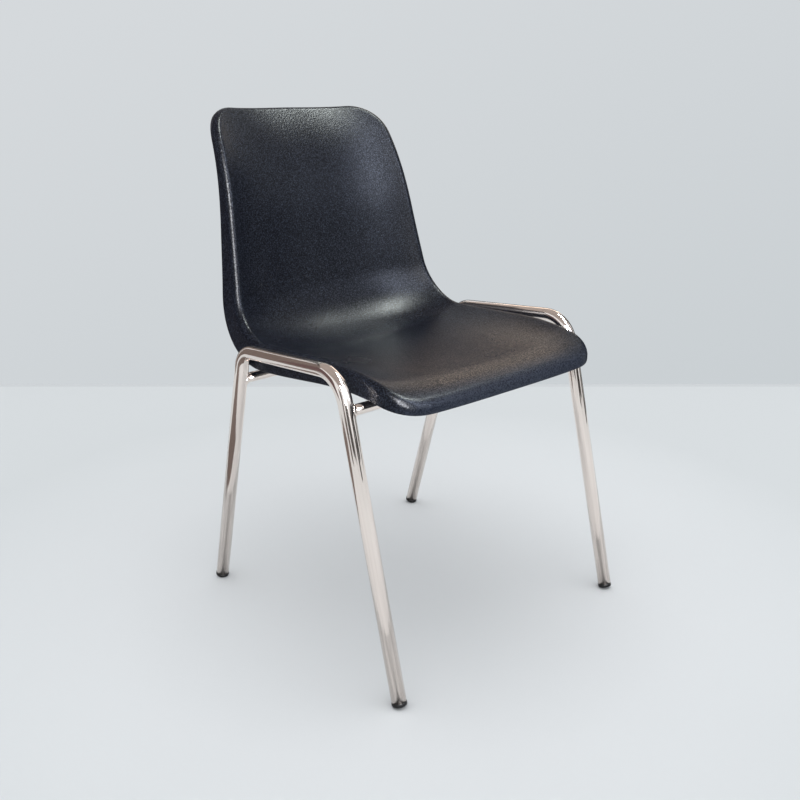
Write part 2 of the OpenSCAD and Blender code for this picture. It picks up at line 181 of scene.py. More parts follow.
cameraView = {
    "place": (-0.973552, -1.087094, 0.831821),
    "pitch": 71.187,
    "yaw": -42.218,
    "lens": 40.756,
}
camera = addObject("photoCamera", bpy.data.cameras.new("photoCamera"))
camera.location = cameraView["place"]
camera.rotation_euler = (radians(cameraView["pitch"]), 0, radians(cameraView["yaw"]))
camera.data.lens = cameraView["lens"]
bpy.context.scene.camera = camera
print("camera placed")


# Finishes

shellFinish = {
    "patchScale": 7,
    "patchRange": (0.32, 0.70),
    "patchTones": ((0.0028, 0.0040, 0.0086), (0.0056, 0.0064, 0.0112)),
    "pebbleScale": 380,
    "grainScale": 520,
    "grainStrength": 0.55,
    "grainDepth": 0.00027,
    # painted glints on the grain's peaks, and a painted highlight along the front lip
    "glintTone": (0.034, 0.043, 0.068),
    "peakRange": (0.46, 0.76),
    "lipPlace": (-0.228, -0.262),  # y, from the seat to its front lip
    "lipHighlight": 1.3,
    # a painted warm reflection, laid in brown specks on the seat
    "seatReflectionTone": (0.25, 0.16, 0.085),
    "seatPlace": (0.02, -0.16),  # y, from the bend to the front half of the seat
    "seatHalf": (0.20, 0.11),  # distance from the middle, from the sides to where the painted warm reflection is full
    "speckRange": (0.50, 0.66),
    "glossRange": (0.3, 0.7),
    "roughness": (0.315, 0.265),
    "reflectRange": (0.36, 0.64),
    "reflect": (0.11, 0.21),  # in the grain's hollows and on its peaks
}


def makeShellPlastic():
    look = shellFinish
    material, tree, shader = newMaterial("grainedShellPlastic")
    place = addNode(tree, "ShaderNodeTexCoord").outputs["Object"]
    where = addNode(tree, "ShaderNodeSeparateXYZ", Vector=place).outputs
    patches = addNoise(tree, place, look["patchScale"], 2, 0.5)
    grain = addNoise(tree, place, look["grainScale"], 1, 0.5)
    pebbles = addNode(tree, "ShaderNodeTexVoronoi", Vector=place, Scale=look["pebbleScale"], Randomness=1)
    tone = blendTones(tree, patches, look["patchRange"], look["patchTones"])

    # a painted warm reflection: brown specks on the seat, from its middle to the front
    front = remap(tree, where["Y"], look["seatPlace"])
    middle = remap(tree, addMath(tree, "ABSOLUTE", where["X"]), look["seatHalf"])
    warmReflection = addMath(tree, "MULTIPLY", front, middle)
    reflectionSpecks = addMath(tree, "MULTIPLY", warmReflection, remap(tree, grain, look["speckRange"]))
    tone = coverTone(tree, reflectionSpecks, tone, look["seatReflectionTone"])

    # painted glints: the grain's peaks are paler all over, and a painted highlight makes them more so along the front
    # lip
    peaks = remap(tree, grain, look["peakRange"])
    lip = remap(tree, where["Y"], look["lipPlace"], (0, look["lipHighlight"]))
    glintsAndLipHighlight = addMath(tree, "MULTIPLY_ADD", grain, lip, peaks)
    feed(tree, shader["Base Color"], coverTone(tree, glintsAndLipHighlight, tone, look["glintTone"]))

    shader["Specular IOR Level"].default_value = sum(look["reflect"]) / 2  # for an export that drops the link
    feed(tree, shader["Specular IOR Level"], remap(tree, grain, look["reflectRange"], look["reflect"]))
    feed(tree, shader["Roughness"], remap(tree, patches, look["glossRange"], look["roughness"]))
    height = addMath(tree, "ADD", pebbles.outputs["Distance"], grain)
    addBump(tree, shader, height, look["grainStrength"], look["grainDepth"])
    return material


chromeFinish = {
    "tones": ((0.89, 0.795, 0.735), (0.98, 0.885, 0.82)),
    "toneRange": (0.30, 0.58),
    "glossRange": (0.3, 0.7),
    "roughness": (0.15, 0.06),
    "markScale": 3.2,
    "waveScale": 1.1,
    "weldScale": 60,  # how much finer both are where there is no tube to run along
    "markShare": 0.35,
    "drawStrength": 0.5,
    "drawDepth": 0.0006,
    "alongScale": 2.5,  # how fast a tube's own coordinate grows along it, per metre
}


def makeChrome(name, alongTube):
    # on a tube the drawing marks follow the tube's own coordinates
    look = chromeFinish
    material, tree, shader = newMaterial(name)
    if alongTube:
        place = addNode(tree, "ShaderNodeAttribute", attribute_name="alongTube").outputs["Vector"]
    else:
        place = addNode(tree, "ShaderNodeTexCoord").outputs["Object"]
    scale = 1 if alongTube else look["weldScale"]
    marks = addNoise(tree, place, look["markScale"] * scale, 3, 0.6)
    waves = addNoise(tree, place, look["waveScale"] * scale, 1, 0.5)
    feed(tree, shader["Base Color"], blendTones(tree, marks, look["toneRange"], look["tones"]))
    feed(tree, shader["Roughness"], remap(tree, marks, look["glossRange"], look["roughness"]))
    height = addMath(tree, "MULTIPLY_ADD", marks, look["markShare"], waves)
    addBump(tree, shader, height, look["drawStrength"], look["drawDepth"])
    shader["Metallic"].default_value = 1
    return material


glideFinish = {
    "scuffScale": 160,
    "scuffRange": (0.45, 0.75),
    "tones": ((0.0035, 0.0035, 0.0040), (0.016, 0.016, 0.017)),
    "roughness": (0.22, 0.55),
    "reflect": 0.3,
    "scuffStrength": 0.3,
    "scuffDepth": 0.0002,
}


def makeGlidePlastic():
    look = glideFinish
    material, tree, shader = newMaterial("blackGlidePlastic")
    place = addNode(tree, "ShaderNodeTexCoord").outputs["Object"]
    scuffs = addNoise(tree, place, look["scuffScale"], 4, 0.6)
    feed(tree, shader["Base Color"], blendTones(tree, scuffs, look["scuffRange"], look["tones"]))
    feed(tree, shader["Roughness"], remap(tree, scuffs, (0, 1), look["roughness"]))
    addBump(tree, shader, scuffs, look["scuffStrength"], look["scuffDepth"])
    shader["Specular IOR Level"].default_value = look["reflect"]
    return material


fastenerFinish = {
    "zincTones": ((0.38, 0.38, 0.37), (0.62, 0.61, 0.58)),
    "zincRoughness": (0.49, 0.29),
    "brassTones": ((0.48, 0.33, 0.14), (0.72, 0.52, 0.24)),
    "brassRoughness": (0.45, 0.25),
    "markScale": 420,
    "markRange": (0.35, 0.62),
    "markStrength": 0.25,
    "markDepth": 0.0001,
}


def makeFastenerMetal(name, tones, roughness):
    look = fastenerFinish
    material, tree, shader = newMaterial(name)
    place = addNode(tree, "ShaderNodeTexCoord").outputs["Object"]
    marks = addNoise(tree, place, look["markScale"], 4, 0.65)
    feed(tree, shader["Base Color"], blendTones(tree, marks, look["markRange"], tones))
    feed(tree, shader["Roughness"], remap(tree, marks, (0, 1), roughness))
    addBump(tree, shader, marks, look["markStrength"], look["markDepth"])
    shader["Metallic"].default_value = 1
    return material


shellPlastic = makeShellPlastic()
tubeChrome = makeChrome("chromedTube", True)
weldChrome = makeChrome("chromedWeld", False)
glidePlastic = makeGlidePlastic()
zincPlating = makeFastenerMetal("zincPlating", fastenerFinish["zincTones"], fastenerFinish["zincRoughness"])
insertBrass = makeFastenerMetal("turnedBrass", fastenerFinish["brassTones"], fastenerFinish["brassRoughness"])
print("finishes mixed")


# Moulded shell: a dished sheet that follows the chair's middle line, with its edge rolled over and down

shellForm = {
    "seatWidth": 0.420,
    "seatLength": 0.252,
    "seatSlope": 4.0,
    "noseRadius": 0.150,
    "noseTurn": 21.5,
    "bendRadius": 0.115,
    "bendTurn": 84.5,
    "lumbarLength": 0.098,
    "backRadius": 0.420,
    "backLength": 0.200,
    "topCrown": 0.0065,
    "wall": 0.0045,
    "rimRound": 0.0012,
    "dishDepth": 0.042,
    "flangeDepth": 0.046,
    "sideRoll": 0.0095,
    "frontRoll": 0.020,
    "topRoll": 0.009,
    "frontLip": 0.0175,
    "topLip": 0.017,
    "flangeDraft": 6.0,
    "frontCorner": (0.041, 0.040),  # across, along
    "topCorner": (0.052, 0.054),
    "seatEnd": (0.05969, 0.42738),  # y and z of the seat's rear end on the middle line
    "frontRise": 0.11,  # share of the dish's height that is reached half-way to its side
    "topRise": 0.165,
    "widthShares": (0.98, 0.985, 0.99, 1, 1, 0.935, 0.89, 0.84, 0.79),
    "dishShares": (0, 0.63, 0.69, 0.73, 0.91, 0.86, 0.69, 0.72, 0.62),
    "flangeShares": (0.52, 0.66, 0.79, 0.9, 0.95, 0.72, 0.55, 0.36, 0.2),
    "facesAcross": 44,
    "facesAlong": 104,
    "rimRings": 14,
    "rollRings": 2.2,  # how much closer together the rings are on the roll than on the flange
}
noseLength = shellForm["noseRadius"] * radians(shellForm["noseTurn"])
bendLength = shellForm["bendRadius"] * radians(shellForm["bendTurn"])
shellLength = noseLength + shellForm["seatLength"] + bendLength + shellForm["lumbarLength"] + shellForm["backLength"]


def smoothShare(place, shares):
    # a smooth curve close to evenly spaced shares
    ends = [2 * shares[0] - shares[1], *shares, 2 * shares[-1] - shares[-2]]
    way = min(max(place, 0), 1) * (len(shares) - 1)
    first = min(int(way), len(shares) - 2)
    x = way - first
    a, b, c, d = ends[first:first + 4]
    return ((1 - x) ** 3 * a + (3 * x ** 3 - 6 * x ** 2 + 4) * b + (1 + 3 * x + 3 * x ** 2 - 3 * x ** 3) * c
            + x ** 3 * d) / 6


def ahead(place, distance):
    y, z, angle = place
    return y + distance * cos(angle), z + distance * sin(angle), angle


def turned(place, radius, angle):
    y, z, start = place
    end = start + angle
    return y + radius * (sin(end) - sin(start)), z - radius * (cos(end) - cos(start)), end


seatEnd = (*shellForm["seatEnd"], -radians(shellForm["seatSlope"]))
seatStart = ahead(seatEnd, -shellForm["seatLength"])
noseEnd = turned(seatStart, -shellForm["noseRadius"], radians(shellForm["noseTurn"]))
bendEnd = turned(seatEnd, shellForm["bendRadius"], radians(shellForm["bendTurn"]))
lumbarEnd = ahead(bendEnd, shellForm["lumbarLength"])


def middleLine(v):
    # y, z and angle of the shell's middle line at a distance v from its front edge
    onSeat = v - noseLength - shellForm["seatLength"]
    onLumbar = onSeat - bendLength
    onBack = onLumbar - shellForm["lumbarLength"]
    if v < 0:
        return ahead(noseEnd, v)
    if v < noseLength:
        return turned(seatStart, -shellForm["noseRadius"], (noseLength - v) / shellForm["noseRadius"])
    if onSeat < 0:
        return ahead(seatEnd, onSeat)
    if onLumbar < 0:
        return turned(seatEnd, shellForm["bendRadius"], onSeat / shellForm["bendRadius"])
    if onBack < 0:
        return ahead(bendEnd, onLumbar)
    return turned(lumbarEnd, -shellForm["backRadius"], -onBack / shellForm["backRadius"])


def halfWidth(v):
    return shellForm["seatWidth"] / 2 * smoothShare(v / shellLength, shellForm["widthShares"])


def dishHeight(u, v):
    rise = shellForm["frontRise"] + (shellForm["topRise"] - shellForm["frontRise"]) * v / shellLength
    depth = shellForm["dishDepth"] * smoothShare(v / shellLength, shellForm["dishShares"])
    return depth * (abs(u) / halfWidth(v)) ** (log(rise) / log(0.5))


def onShell(u, v, level):
    # the place at u across and v along the shell, at a level above its middle line
    y, z, angle = middleLine(v)
    return Vector((u, y - level * sin(angle), z + level * cos(angle)))


def shellSlope(u, v, way):
    step = 0.0005
    return (dishHeight(u, v) - dishHeight(u - step * way.x, v - step * way.y)) / step


def shellRow(v):
    # a row's edge place, inset and way out at its edge, and its place in the middle
    frontWide, frontLong = shellForm["frontCorner"]
    topWide, topLong = shellForm["topCorner"]
    sideEnd = shellLength - shellForm["topCrown"] - topLong
    if v < frontLong:
        angle = pi / 2 * (1 - v / frontLong)
        edge, inset = frontLong * (1 - sin(angle)), frontWide * (1 - cos(angle))
        way = Vector((cos(angle) / frontWide, -sin(angle) / frontLong)).normalized()
        return edge, inset, way, v
    if v < sideEnd + 1e-6:
        backStart = shellLength - shellForm["backLength"]
        crown = shellForm["topCrown"] * max(v - backStart, 0) / (sideEnd - backStart)
        return v, 0, Vector((1, 0)), v + crown
    angle = pi / 2 * (v - sideEnd) / topLong
    edge, inset = sideEnd + topLong * sin(angle), topWide * (1 - cos(angle))
    way = Vector((cos(angle) / topWide, sin(angle) / topLong)).normalized()
    return edge, inset, way, v + shellForm["topCrown"]


def rolledEdge(u, v, way, share):
    # the place at a share of the way over the roll and down the flange below it
    front = way.y ** 2 if way.y < 0 else 0
    top = way.y ** 2 if way.y > 0 else 0
    radius = (shellForm["sideRoll"] + (shellForm["frontRoll"] - shellForm["sideRoll"]) * front * (2 - front)
              + (shellForm["topRoll"] - shellForm["sideRoll"]) * top)
    sideDepth = shellForm["flangeDepth"] * smoothShare(v / shellLength, shellForm["flangeShares"])
    depth = sideDepth + (shellForm["frontLip"] - sideDepth) * front + (shellForm["topLip"] - sideDepth) * top
    rise = atan(shellSlope(u, v, way))
    fall = radians(90 - shellForm["flangeDraft"])
    crest = radius * (1 - cos(max(rise, 0)))
    drop = max(depth + radius * (cos(fall) - cos(rise)) - crest, 0)
    bent = shellForm["rollRings"] * radius * (rise + fall)
    onRoll = bent / (bent + drop)
    turn = rise - (rise + fall) * min(share / onRoll, 1)
    drop *= max(share - onRoll, 0) / max(1 - onRoll, 1e-6)
    out = radius * (sin(rise) - sin(turn)) + drop * tan(radians(shellForm["flangeDraft"]))
    up = radius * (cos(turn) - cos(rise)) - drop
    return onShell(u + way.x * out, v + way.y * out, dishHeight(u, v) + up)


def makeShell():
    bm = bmesh.new()
    gridHalf = 0.5
    bmesh.ops.create_grid(bm, x_segments=shellForm["facesAcross"], y_segments=shellForm["facesAlong"], size=gridHalf)
    layers = bm.verts.layers.float_vector
    placeLayer = layers.new("placeOnShell")
    wayLayer = layers.new("wayOut")
    sheetEnd = shellLength - shellForm["topCrown"]
    lastRow = gridHalf - 0.001
    for point in bm.verts:
        share = point.co.x / gridHalf
        edge, inset, way, middle = shellRow((point.co.y + gridHalf) * sheetEnd)
        if abs(point.co.y) > lastRow:
            way = Vector((0, 1 if point.co.y > 0 else -1))
        elif share <= 0:
            way = Vector((-way.x, way.y))
        u = share * (halfWidth(edge) - inset)
        v = middle + (edge - middle) * share ** 2
        point[placeLayer] = (u, v, 0)
        point[wayLayer] = (way.x, way.y, 0)
        point.co = onShell(u, v, dishHeight(u, v))
    rim = [edge for edge in bm.edges if edge.is_boundary]
    for step in range(1, shellForm["rimRings"] + 1):
        points, rim = growRing(bm, rim)
        for point in points:
            u, v, _ = point[placeLayer]
            point.co = rolledEdge(u, v, Vector(point[wayLayer][:2]), step / shellForm["rimRings"])
    bm.normal_update()
    if min(bm.faces, key=lambda face: abs(face.calc_center_median().y)).normal.z < 0:
        bmesh.ops.reverse_faces(bm, faces=bm.faces)
    for name in ("placeOnShell", "wayOut"):
        layers.remove(layers[name])
    shell = finishPiece(bm, "mouldedShell", shellPlastic, "seat_shell")
    smooth = shell.modifiers.new("smooth", "SUBSURF")
    smooth.levels = smooth.render_levels = 1
    addWall(shell, shellForm["wall"]).use_even_offset = True
    rounding = shell.modifiers.new("rimRounding", "BEVEL")
    rounding.width = shellForm["rimRound"]
    rounding.segments = 2
    rounding.limit_method = "ANGLE"
    rounding.angle_limit = radians(50)


makeShell()
print("shell moulded")


# Side frames: one bent tube a side

frameForm = {
    "tubeRadius": 0.011,
    "tubeWall": 0.0015,
    "railHeight": 0.470,
    "railFall": 0.0205,
    "railLength": 0.250,
    "railForward": 0.0028,
    "frontSplay": 14.3,
    "rearSplay": 15.5,
    "frontBend": 0.052,
    "rearBend": 0.038,
    "toeIn": 1.35,
    "lean": 0.4,
    "standOff": 0.239604,
    "legsForward": 0.0373,
    "tubeSides": 40,
    "bendSteps": 14,
}
glideForm = {
    "radius": 0.0113,
    "height": 0.008,
    "dome": 0.003,
    "domeRings": 8,
    "edgeRound": 0.0006,
    "flat": 0.0005,
    "stem": 0.024,
    "stemGap": 0.00005,
    "stemChamfer": 0.001,
    "ribs": 4,
    "ribStep": 0.0008,
    "ribWidth": 0.002,
    "ribFlat": 0.8,  # share of a rib's width that bears on the tube
    "sides": 48,
}
domeRadius = (glideForm["radius"] ** 2 + glideForm["dome"] ** 2) / (2 * glideForm["dome"])


def tubeEndHeight(splay):
    # height of a leg's end when its glide stands on the flat
    return domeRadius - glideForm["flat"] + (glideForm["height"] - domeRadius) * cos(radians(splay))


# corners and feet in the frame's own plane, with x to the rear and y up
railReach = sqrt(frameForm["railLength"] ** 2 - frameForm["railFall"] ** 2)
frontTop = Vector((-railReach / 2 - frameForm["railForward"], frameForm["railHeight"], 0))
rearTop = frontTop + Vector((railReach, -frameForm["railFall"], 0))
frontWay = Vector((-tan(radians(frameForm["frontSplay"])), -1, 0))
rearWay = Vector((tan(radians(frameForm["rearSplay"])), -1, 0))
frontFoot = frontTop + (frontTop.y - tubeEndHeight(frameForm["frontSplay"])) * frontWay
rearFoot = rearTop + (rearTop.y - tubeEndHeight(frameForm["rearSplay"])) * rearWay

# from that plane to its place on the left side of the chair
onLeft = (Matrix.Translation((frameForm["standOff"], -frameForm["legsForward"], 0))
          @ Matrix.Rotation(radians(frameForm["toeIn"]), 4, "Z")
          @ Matrix.Rotation(radians(frameForm["lean"]), 4, "Y")
          @ Matrix(((0, 0, 1, 0), (1, 0, 0, 0), (0, 1, 0, 0), (0, 0, 0, 1))))
bothSides = (("left", Matrix.Identity(4)), ("right", Matrix.Scale(-1, 4, (1, 0, 0))))


def markRound(ring, layer):
    # the tube's own coordinates, for the drawing marks in the chrome: x and y go round it, and z along it
    for point in ring:
        angle = atan2(point.co.y, point.co.x)
        point[layer] = (cos(angle), sin(angle), 0)


def markAlong(point, layer, distance):
    point[layer].z = distance * chromeFinish["alongScale"]


def makeSideFrame(name, node, toSide):
    bm = bmesh.new()
    layer = bm.verts.layers.float_vector.new("alongTube")
    ring, rim = startRing(bm, frameForm["tubeSides"], frameForm["tubeRadius"])
    markRound(ring, layer)
    runs = ((frontFoot, frontTop, frameForm["frontBend"]), (frontTop, rearTop, frameForm["rearBend"]),
            (rearTop, rearFoot, 0))
    angles = [atan2(end.y - start.y, end.x - start.x) for start, end, _ in runs]
    bmesh.ops.transform(bm, verts=ring, matrix=Matrix.Translation(frontFoot)
                        @ Matrix.Rotation(angles[0], 4, "Z") @ Matrix.Rotation(pi / 2, 4, "Y"))
    here, distance = frontFoot, 0
    for index, (_, corner, bend) in enumerate(runs):
        way = Vector((cos(angles[index]), sin(angles[index]), 0))
        turn = angles[index] - angles[index + 1] if bend else 0
        back = bend * tan(turn / 2)  # from the corner to where the bend starts
        stretch = (corner - here).length - back
        points, rim = growRing(bm, rim)
        bmesh.ops.translate(bm, verts=points, vec=way * stretch)
        distance += stretch
        for point in points:
            markAlong(point, layer, distance)
        if bend:
            step = turn / frameForm["bendSteps"]
            centre = corner - back * way + bend * Vector((way.y, -way.x, 0))
            for _ in range(frameForm["bendSteps"]):
                points, rim = growRing(bm, rim)
                bmesh.ops.rotate(bm, verts=points, cent=centre, matrix=Matrix.Rotation(-step, 3, "Z"))
                distance += bend * step
                for point in points:
                    markAlong(point, layer, distance)
            here = corner + back * Vector((cos(angles[index + 1]), sin(angles[index + 1]), 0))
    bmesh.ops.transform(bm, verts=bm.verts, matrix=toSide @ onLeft)
    faceOutwards(bm)
    addWall(finishPiece(bm, name, tubeChrome, node), frameForm["tubeWall"])


for side, toSide in bothSides:
    makeSideFrame(side + "Tube", side + "_side_frame", toSide)
print("side frames bent")


# Crossbars, cut to the legs, with a bead of weld round each end

barForm = {
    "radius": 0.008,
    "wall": 0.0015,
    "frontDrop": 0.052,
    "rearDrop": 0.050,
    "overlap": 0.0002,  # how far the cut end reaches into the leg
    "cutEnd": 0.03,  # length of the stretch with the cut end
    "sides": 36,
    "bead": 0.0025,
    "beadStep": 15,
    "beadRoot": [(0.45, -0.2), (-0.2, -0.2), (-0.2, 0.45)],  # shares of the bead over bar and leg, inside both
    "beadSides": 102,
    "ripples": 17,
    "rippleDepth": 0.12,
    "rippleLean": 0.8,
}


def legLine(top, way, drop):
    # joint of crossbar and leg, and the leg's direction, on the left side
    joint = onLeft @ (top + drop * way)
    return joint, (onLeft @ top - joint).normalized()


frontJoint = legLine(frontTop, frontWay, barForm["frontDrop"])
rearJoint = legLine(rearTop, rearWay, barForm["rearDrop"])


def meetLeg(joint, leg, y, z, radius):
    # x of the place where a line along X at this y and z comes within radius of the leg's axis
    b, c = y - joint.y, z - joint.z
    along = b * leg.y + c * leg.z
    square = 1 - leg.x ** 2
    inside = (leg.x * along) ** 2 - square * (b * b + c * c - along * along - radius ** 2)
    return joint.x + (leg.x * along - sqrt(inside)) / square


def makeCrossbar(name, node, joint, leg):
    bm = bmesh.new()
    layer = bm.verts.layers.float_vector.new("alongTube")
    ring, rim = startRing(bm, barForm["sides"], barForm["radius"])
    markRound(ring, layer)
    bmesh.ops.transform(bm, verts=ring, matrix=Matrix.Translation(joint) @ Matrix.Rotation(pi / 2, 4, "Y"))
    reach = frameForm["tubeRadius"] - barForm["overlap"]
    for point in ring:
        point.co.x = meetLeg(joint, leg, point.co.y, point.co.z, reach)
    inner = joint.x - barForm["cutEnd"]
    for x in (inner, inner / 2, 0, -inner / 2, -inner, None):  # None stands for the cut at the other leg
        points, rim = growRing(bm, rim)
        for point in points:
            point.co.x = -meetLeg(joint, leg, point.co.y, point.co.z, reach) if x is None else x
            markAlong(point, layer, joint.x - point.co.x)
    faceOutwards(bm)
    addWall(finishPiece(bm, name, tubeChrome, node), barForm["wall"])


def makeWeld(name, node, joint, leg, toSide):
    # the bead's section goes from the bar, over the bead, to the leg, and back inside both
    bm = bmesh.new()
    layer = bm.verts.layers.float.new("roundBar")
    points, rim = startRing(bm, barForm["beadSides"], barForm["radius"])
    for point in points:
        point[layer] = atan2(point.co.y, point.co.x)
    firstRim = rim
    outside = [(sin(radians(angle)), cos(radians(angle))) for angle in range(0, 91, barForm["beadStep"])]
    for number, (overBar, overLeg) in enumerate(outside + barForm["beadRoot"]):
        if number:
            points, rim = growRing(bm, rim)
        for point in points:
            angle, bead = point[layer], barForm["bead"]
            if number < len(outside):
                wave = sin(barForm["ripples"] / 2 * angle + barForm["rippleLean"] * overBar) ** 2
                bead *= 1 - barForm["rippleDepth"] * wave
            radius = barForm["radius"] + bead * overBar
            y, z = joint.y + radius * cos(angle), joint.z + radius * sin(angle)
            point.co = (meetLeg(joint, leg, y, z, frameForm["tubeRadius"] + bead * overLeg), y, z)
    bmesh.ops.bridge_loops(bm, edges=firstRim + rim)
    bmesh.ops.transform(bm, verts=bm.verts, matrix=toSide)
    bmesh.ops.recalc_face_normals(bm, faces=bm.faces)
    finishPiece(bm, name, weldChrome, node)


bothBars = (("front", frontJoint), ("rear", rearJoint))
for end, joint in bothBars:
    makeCrossbar(end + "Bar", end + "_crossbar", *joint)
for end, joint in bothBars:
    for side, toSide in bothSides:
        makeWeld(end + side.title() + "Bead", end + "_" + side + "_weld", *joint, toSide)
print("crossbars welded")


# Glides: a domed cap that stands on its flat, and a ribbed stem in the tube

def glideProfile():
    # heights run down from the tube's end
    radius, stem, edge = glideForm["radius"], glideForm["stem"], glideForm["edgeRound"]
    ribStep, ribWidth, chamfer = glideForm["ribStep"], glideForm["ribWidth"], glideForm["stemChamfer"]
    stemRadius = frameForm["tubeRadius"] - frameForm["tubeWall"] - glideForm["stemGap"] - ribStep
    pitch = stem / (glideForm["ribs"] + 1)
    centre = glideForm["height"] - domeRadius
    profile = [(0, glideForm["height"])]
    for ring in range(1, glideForm["domeRings"] + 1):
        reach = (radius - edge) * ring / glideForm["domeRings"]
        profile.append((reach, centre + sqrt(domeRadius ** 2 - reach ** 2)))
    side = centre + sqrt(domeRadius ** 2 - radius ** 2)
    profile += [(radius - edge / 3, side - edge / 6), (radius, side - edge), (radius, edge),
                (radius - edge / 3, edge / 3), (radius - edge, 0), (stemRadius, 0)]
    for rib in range(1, glideForm["ribs"] + 1):
        end = -rib * pitch
        profile += [(stemRadius, end + ribWidth), (stemRadius + ribStep, end + ribWidth * glideForm["ribFlat"]),
                    (stemRadius + ribStep, end), (stemRadius, end)]
    return profile + [(stemRadius, chamfer - stem), (stemRadius - chamfer, -stem), (0, -stem)]


def makeGlide(name, node, foot, angle, toSide):
    bm = bmesh.new()
    turnProfile(bm, glideProfile(), glideForm["sides"])
    bmesh.ops.transform(bm, verts=bm.verts, matrix=toSide @ onLeft @ Matrix.Translation(foot)
                        @ Matrix.Rotation(radians(angle), 4, "Z") @ Matrix.Rotation(pi / 2, 4, "Y"))
    cut = bmesh.ops.bisect_plane(bm, geom=bm.verts[:] + bm.edges[:] + bm.faces[:],
                                 plane_co=(0, 0, 0), plane_no=(0, 0, 1), clear_inner=True)
    closeRing(bm, [part for part in cut["geom_cut"] if isinstance(part, bmesh.types.BMEdge)])
    bmesh.ops.recalc_face_normals(bm, faces=bm.faces)
    finishPiece(bm, name, glidePlastic, node, sharpOver=40)


for side, toSide in bothSides:
    for end, foot, angle in (("front", frontFoot, -90 - frameForm["frontSplay"]),
                             ("rear", rearFoot, -90 + frameForm["rearSplay"])):
        makeGlide(end + side.title() + "Glide", end + "_" + side + "_glide", foot, angle, toSide)
print("glides fitted")


# Bosses under the seat, and the screws that hold them to the crossbars

bossForm = {
    "spacing": 0.200,
    "radius": 0.012,
    "bore": 0.00455,
    "saddleDrop": 0.003,
    "saddleRings": 10,
    "rootFlare": 0.0025,
    # share of the flare, and how many walls below the seat's top, up to inside the wall
    "rootRings": ((0, 1.8), (0, 1.55), (0.3, 1.25), (1, 0.9), (1, 0.5)),
    "sides": 48,
}
screwForm = {
    "radius": 0.003,
    "headRadius": 0.006,
    "headHeight": 0.004,
    "headRings": ((0.5, 0.995), (0.75, 0.9), (0.93, 0.68), (1, 0.35)),  # shares of its radius and height
    "headRound": 0.0002,
    "tip": 0.0005,
    "washer": 0.002,
    "insert": 0.009,
    "socket": 0.004,
    "sides": 48,
}
fixings = [Vector((side * bossForm["spacing"] / 2, joint.y, joint.z))
           for joint, _ in (frontJoint, rearJoint) for side in (-1, 1)]


def underSeat(x, y, walls):
    # height of the place at x and y that is so many walls below the seat's top, found by halving the seat's length
    low, high = noseLength, noseLength + shellForm["seatLength"] + bendLength / 2
    for _ in range(30):
        v = (low + high) / 2
        if onShell(x, v, dishHeight(x, v)).y < y:
            low = v
        else:
            high = v
    return onShell(x, v, dishHeight(x, v) - walls * shellForm["wall"]).z


def widenRing(bm, points, middle, factor):
    bmesh.ops.scale(bm, verts=points, vec=(factor, factor, 1), space=Matrix.Translation(-middle))


def makeBosses():
    bm = bmesh.new()
    bore, outside, rings = bossForm["bore"], bossForm["radius"], bossForm["saddleRings"]
    boreTop = barForm["radius"] + screwForm["insert"] + screwForm["radius"] / 2
    for middle in fixings:
        points, rim = startRing(bm, bossForm["sides"], bore)
        bmesh.ops.translate(bm, verts=points, vec=middle + Vector((0, 0, boreTop)))
        closeRing(bm, rim)
        radius = bore
        for ring in range(rings + 1):
            points, rim = growRing(bm, rim)
            reach = bore + (outside - bore) * ring / rings
            widenRing(bm, points, middle, reach / radius)
            radius = reach
            for point in points:
                onBar = sqrt(max(barForm["radius"] ** 2 - (point.co.y - middle.y) ** 2, 0))
                point.co.z = middle.z + max(onBar, barForm["radius"] - bossForm["saddleDrop"])
        for flare, walls in bossForm["rootRings"]:
            points, rim = growRing(bm, rim)
            reach = outside + flare * bossForm["rootFlare"]
            widenRing(bm, points, middle, reach / radius)
            radius = reach
            for point in points:
                point.co.z = underSeat(point.co.x, point.co.y, walls)
        closeRing(bm, rim)
    bmesh.ops.recalc_face_normals(bm, faces=bm.faces)
    finishPiece(bm, "seatBosses", shellPlastic, "seat_shell", sharpOver=50)


def screwRings():
    # (radius, level) from the socket's bottom over the head to the screw's end, where None stands for the socket's
    # six-sided wall, and levels run up from under the head
    head, height = screwForm["headRadius"], screwForm["headHeight"]
    radius, edge, tip = screwForm["radius"], screwForm["headRound"], screwForm["tip"]
    top = screwForm["washer"] + 2 * barForm["radius"] + screwForm["insert"]
    socket = [(None, -height / 2), (None, -height)]
    dome = [(head * wide, -height * high) for wide, high in screwForm["headRings"]]
    return socket + dome + [(head, -edge), (head - edge, 0), (radius, 0), (radius, top - tip), (radius - tip, top)]


def makeScrews():
    bm = bmesh.new()
    for middle in fixings:
        seat = middle - Vector((0, 0, barForm["radius"] + screwForm["washer"]))
        points, rim = startRing(bm, screwForm["sides"], screwForm["headRadius"])
        bmesh.ops.translate(bm, verts=points, vec=seat)
        closeRing(bm, rim)
        for number, (reach, level) in enumerate(screwRings()):
            if number:
                points, rim = growRing(bm, rim)
            for point in points:
                angle = atan2(point.co.y - seat.y, point.co.x - seat.x)
                slant = (angle + pi / 6) % (pi / 3) - pi / 6
                radius = reach or screwForm["socket"] / 2 / cos(slant)
                point.co = seat + Vector((radius * cos(angle), radius * sin(angle), level))
        closeRing(bm, rim)
    bmesh.ops.recalc_face_normals(bm, faces=bm.faces)
    finishPiece(bm, "seatScrews", zincPlating, "shell_screws", sharpOver=35)


makeBosses()
makeScrews()
for nodeName, metal in (("saddle_washers", zincPlating), ("boss_inserts", insertBrass)):
    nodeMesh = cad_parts[nodeName].data
    nodeMesh.materials.clear()
    nodeMesh.materials.append(metal)
print("bosses and screws in place")


# Floor, background and lamps

